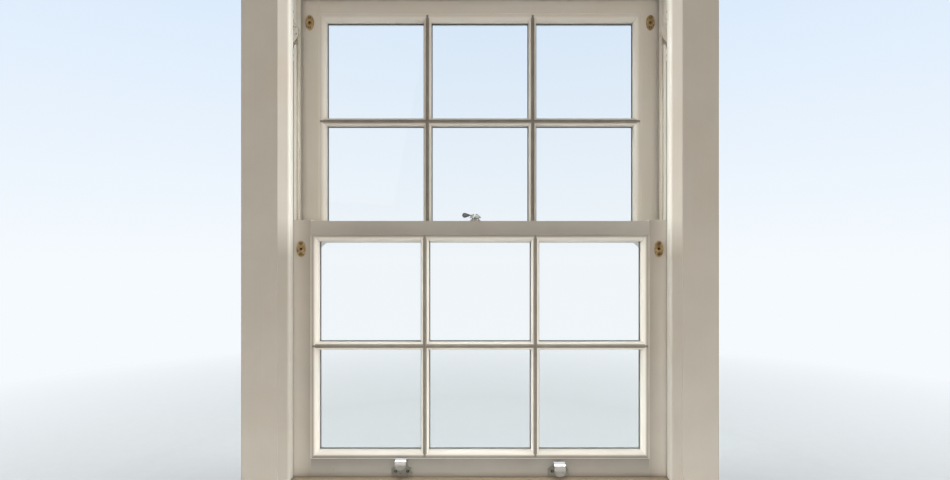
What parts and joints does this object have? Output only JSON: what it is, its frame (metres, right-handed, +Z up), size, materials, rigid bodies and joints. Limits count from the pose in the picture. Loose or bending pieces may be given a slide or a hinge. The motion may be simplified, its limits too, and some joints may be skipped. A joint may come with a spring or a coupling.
{
  "type": "sash window",
  "caption": "Double-hung timber sash window in its boxed frame, panes set in putty, sashes on cords, pulleys and weights.",
  "frame": {"origin": "middle of the sill's underside, in the plane of the parting beads", "axes": "+X to the right as seen from the room, +Y to the outside, +Z up"},
  "size_m": [0.97, 0.1965, 1.1583],
  "materials": {
    "painted_wood": "worn satin paint",
    "outside_paint": "weathered gloss paint",
    "bare_wood": "bare softwood",
    "varnished_wood": "old varnish",
    "glass": "clear",
    "putty": "painted putty",
    "brass": "dull",
    "iron": "rough",
    "lift_metal": "worn plate",
    "fastener_metal": "worn plate",
    "screw_metal": "dull",
    "cord": "painted cotton"
  },
  "bodies": {
    "frame": {"sill": "outside_paint", "sill_bead": "varnished_wood", "head": "bare_wood", "pulley_stile_left": "painted_wood", "pulley_stile_right": "painted_wood", "pocket_pieces": "painted_wood", "inside_lining_left": "painted_wood", "inside_lining_right": "painted_wood", "inside_lining_head": "painted_wood", "outside_lining_left": "outside_paint", "outside_lining_right": "outside_paint", "outside_lining_head": "outside_paint", "back_linings": "bare_wood", "parting_slips": "bare_wood", "parting_beads": "painted_wood", "staff_bead_left": "painted_wood", "staff_bead_right": "painted_wood", "staff_bead_head": "painted_wood", "pulley_axles": "screw_metal", "frame_screws": "screw_metal", "pulley_case_lower_left": "iron", "sash_cord_lower_left": "cord", "pulley_case_lower_right": "iron", "sash_cord_lower_right": "cord", "pulley_case_upper_left": "iron", "sash_cord_upper_left": "cord", "pulley_case_upper_right": "iron", "sash_cord_upper_right": "cord"},
    "lower_sash": {"lower_stile_left": "painted_wood", "lower_stile_right": "painted_wood", "lower_bottom_rail": "painted_wood", "lower_meeting_rail": "painted_wood", "lower_glazing_bars": "painted_wood", "lower_panes": "glass", "lower_putty": "putty", "lower_stop_plates": "brass", "sash_lift_left": "lift_metal", "sash_lift_right": "lift_metal", "fastener_base": "fastener_metal", "lower_screws": "screw_metal"},
    "upper_sash": {"upper_stile_left": "painted_wood", "upper_stile_right": "painted_wood", "upper_top_rail": "painted_wood", "upper_meeting_rail": "painted_wood", "upper_glazing_bars": "painted_wood", "upper_panes": "glass", "upper_putty": "putty", "upper_stop_plates": "brass", "fastener_keep": "fastener_metal", "upper_screws": "screw_metal"},
    "fastener_lever": {"fastener_lever": "fastener_metal"},
    "pulley_wheel_lower_left": {"pulley_wheel_lower_left": "iron"},
    "sash_weight_lower_left": {"sash_weight_lower_left": "iron"},
    "pulley_wheel_lower_right": {"pulley_wheel_lower_right": "iron"},
    "sash_weight_lower_right": {"sash_weight_lower_right": "iron"},
    "pulley_wheel_upper_left": {"pulley_wheel_upper_left": "iron"},
    "sash_weight_upper_left": {"sash_weight_upper_left": "iron"},
    "pulley_wheel_upper_right": {"pulley_wheel_upper_right": "iron"},
    "sash_weight_upper_right": {"sash_weight_upper_right": "iron"}
  },
  "joints": [
    {"name": "lower_sash_slide", "type": "slide", "parent": "frame", "child": "lower_sash", "axis": [0, 0, 1], "range_m": [0, 0.4], "deforming": ["sash_cord_lower_left", "sash_cord_lower_right"]},
    {"name": "upper_sash_slide", "type": "slide", "parent": "frame", "child": "upper_sash", "axis": [0, 0, -1], "range_m": [0, 0.4], "deforming": ["sash_cord_upper_left", "sash_cord_upper_right"]},
    {"name": "fastener_turn", "type": "hinge", "parent": "lower_sash", "child": "fastener_lever", "pos_m": [-0.0102, -0.005, 0.61465], "axis": [0, 0, 1], "range_deg": [0, 90]},
    {"name": "pulley_wheel_lower_left_spin", "type": "hinge", "parent": "frame", "child": "pulley_wheel_lower_left", "pos_m": [-0.41, -0.028, 1.0033], "axis": [0, 1, 0], "range_deg": [-883, 0]},
    {"name": "sash_weight_lower_left_slide", "type": "slide", "parent": "frame", "child": "sash_weight_lower_left", "axis": [0, 0, 1], "range_m": [-0.4, 0]},
    {"name": "pulley_wheel_lower_right_spin", "type": "hinge", "parent": "frame", "child": "pulley_wheel_lower_right", "pos_m": [0.41, -0.028, 1.0033], "axis": [0, 1, 0], "range_deg": [0, 883]},
    {"name": "sash_weight_lower_right_slide", "type": "slide", "parent": "frame", "child": "sash_weight_lower_right", "axis": [0, 0, 1], "range_m": [-0.4, 0]},
    {"name": "pulley_wheel_upper_left_spin", "type": "hinge", "parent": "frame", "child": "pulley_wheel_upper_left", "pos_m": [-0.41, 0.028, 1.0033], "axis": [0, 1, 0], "range_deg": [0, 883]},
    {"name": "sash_weight_upper_left_slide", "type": "slide", "parent": "frame", "child": "sash_weight_upper_left", "axis": [0, 0, 1], "range_m": [0, 0.4]},
    {"name": "pulley_wheel_upper_right_spin", "type": "hinge", "parent": "frame", "child": "pulley_wheel_upper_right", "pos_m": [0.41, 0.028, 1.0033], "axis": [0, 1, 0], "range_deg": [-883, 0]},
    {"name": "sash_weight_upper_right_slide", "type": "slide", "parent": "frame", "child": "sash_weight_upper_right", "axis": [0, 0, 1], "range_m": [0, 0.4]}
  ],
  "couplings": [
    {"joint": "pulley_wheel_lower_left_spin", "follows": "lower_sash_slide", "rad_per_m": -38.462},
    {"joint": "sash_weight_lower_left_slide", "follows": "lower_sash_slide", "ratio": -1},
    {"joint": "pulley_wheel_lower_right_spin", "follows": "lower_sash_slide", "rad_per_m": 38.462},
    {"joint": "sash_weight_lower_right_slide", "follows": "lower_sash_slide", "ratio": -1},
    {"joint": "pulley_wheel_upper_left_spin", "follows": "upper_sash_slide", "rad_per_m": 38.462},
    {"joint": "sash_weight_upper_left_slide", "follows": "upper_sash_slide", "ratio": 1},
    {"joint": "pulley_wheel_upper_right_spin", "follows": "upper_sash_slide", "rad_per_m": -38.462},
    {"joint": "sash_weight_upper_right_slide", "follows": "upper_sash_slide", "ratio": 1}
  ]
}
